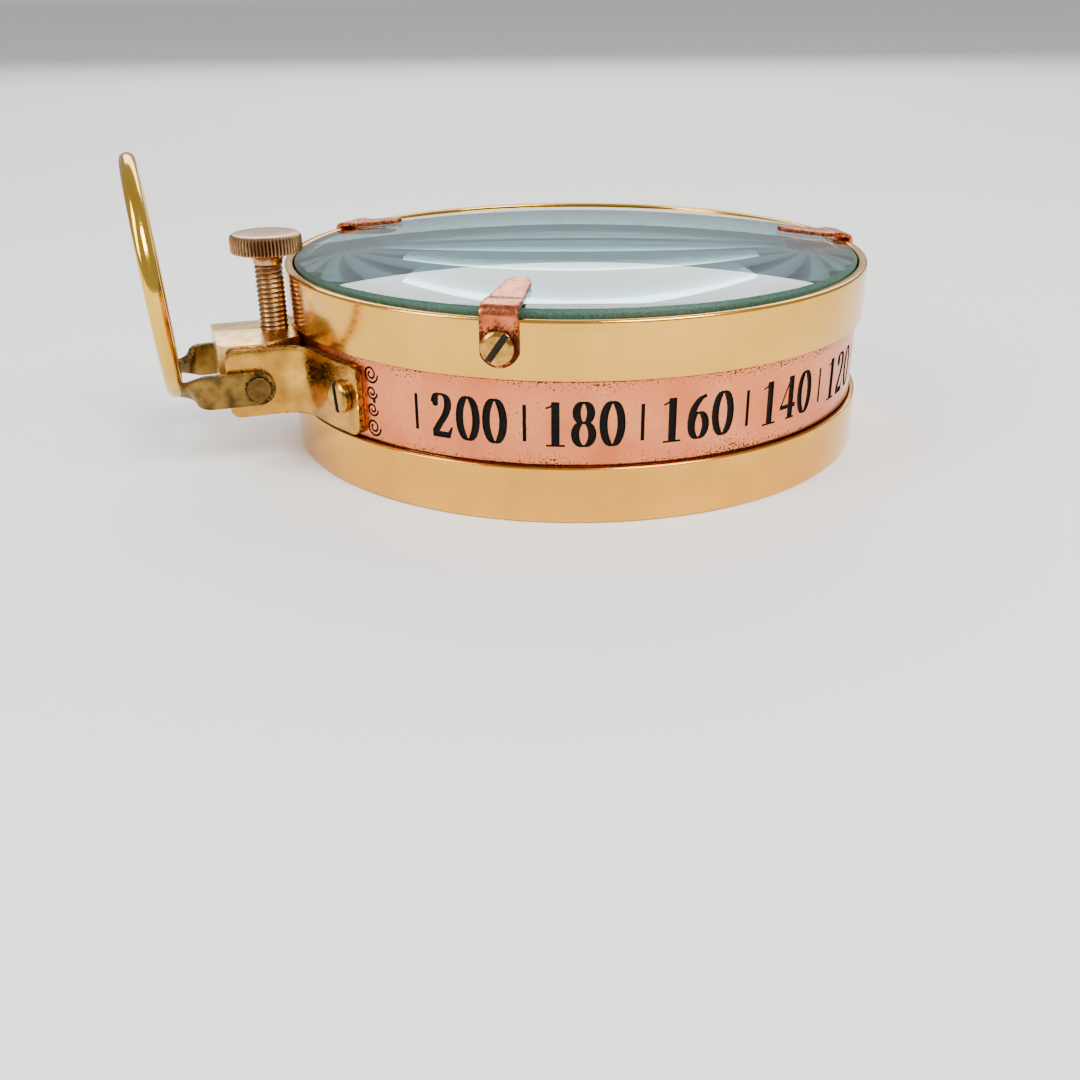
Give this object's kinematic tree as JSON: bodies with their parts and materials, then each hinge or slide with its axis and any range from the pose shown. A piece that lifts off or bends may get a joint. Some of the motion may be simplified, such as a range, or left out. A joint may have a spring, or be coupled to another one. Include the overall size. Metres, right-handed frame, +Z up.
{
  "type": "handheld bearing compass",
  "caption": "Round brass bearing compass with a copper band, domed magnifying lens held by clips, hinged thumb ring and a thumb screw that lifts the needle.",
  "frame": {"origin": "centre of the base's flat face", "axes": "+Z up, out of the lens; the bracket and thumb ring point 162 degrees clockwise from +X seen from above; the needle's north end points along +Y"},
  "size_m": [0.1135, 0.091, 0.0449],
  "materials": {
    "polished_brass": "polished, lightly brushed round the rings",
    "copper": "polished copper sheet, oxidised at the edges",
    "lens_glass": "clear crown glass, green at its edge",
    "aged_brass": "dull, darkened brass strip",
    "cream_brass": "pale polished brass",
    "bronze": "turned and knurled, dull",
    "wire_brass": "bright drawn wire",
    "steel": "turned steel",
    "needle_blue": "blued steel needle with a red north tip",
    "dial_enamel": "white printed dial",
    "jewel": "polished red cup jewel"
  },
  "bodies": {
    "case": {"base_cup": "polished_brass", "copper_band": "copper", "upper_ring": "polished_brass", "magnifier_lens": "lens_glass", "lens_clip_front": "copper", "lens_clip_right": "copper", "lens_clip_back": "copper", "clip_screws": "polished_brass", "cheek_front": "polished_brass", "cheek_back": "polished_brass", "cheek_screws": "polished_brass", "screw_block": "cream_brass", "hinge_pin": "aged_brass", "lever_stand": "polished_brass", "fulcrum_pin": "steel", "pivot_post": "steel", "dial_plate": "dial_enamel", "spacer_ring": "steel", "dial_screws": "polished_brass"},
    "thumb_loop": {"thumb_ring": "wire_brass", "fork_arm_front": "aged_brass", "fork_arm_back": "aged_brass"},
    "screw_slider": {"screw_foot": "steel"},
    "thumb_screw": {"thumb_screw": "bronze"},
    "lift_lever": {"lift_lever": "polished_brass"},
    "lift_collar": {"lift_collar": "polished_brass"},
    "needle": {"compass_needle": "needle_blue", "needle_cap": "polished_brass", "needle_jewel": "jewel", "needle_rider": "polished_brass"}
  },
  "joints": [
    {"name": "thumb_ring_hinge", "type": "hinge", "parent": "case", "child": "thumb_loop", "pos_m": [-0.04898, -0.01591, 0.01265], "axis": [-0.309, 0.9511, 0], "range_deg": [-95, 66]},
    {"name": "thumb_screw_travel", "type": "slide", "parent": "case", "child": "screw_slider", "axis": [0, 0, 1], "range_m": [-0.00141, 0.00001]},
    {"name": "thumb_screw_spin", "type": "hinge", "parent": "screw_slider", "child": "thumb_screw", "pos_m": [-0.04517, -0.01468, 0.02], "axis": [0, 0, 1], "range_deg": [-720, 0]},
    {"name": "lever_tilt", "type": "hinge", "parent": "case", "child": "lift_lever", "pos_m": [-0.02092, -0.0068, 0.01], "axis": [0.309, -0.9511, 0], "range_deg": [-0.01, 3.25]},
    {"name": "collar_lift", "type": "slide", "parent": "case", "child": "lift_collar", "axis": [0, 0, 1], "range_m": [-0.00001, 0.00126]},
    {"name": "needle_spin", "type": "hinge", "parent": "lift_collar", "child": "needle", "pos_m": [0, 0, 0.0165], "axis": [0, 0, 1], "continuous": true}
  ],
  "couplings": [
    {"joint": "thumb_screw_travel", "follows": "thumb_screw_spin", "m_per_rad": 0.00011141},
    {"joint": "lever_tilt", "follows": "thumb_screw_spin", "ratio": -0.0044444},
    {"joint": "collar_lift", "follows": "thumb_screw_spin", "m_per_rad": -0.000099472}
  ]
}
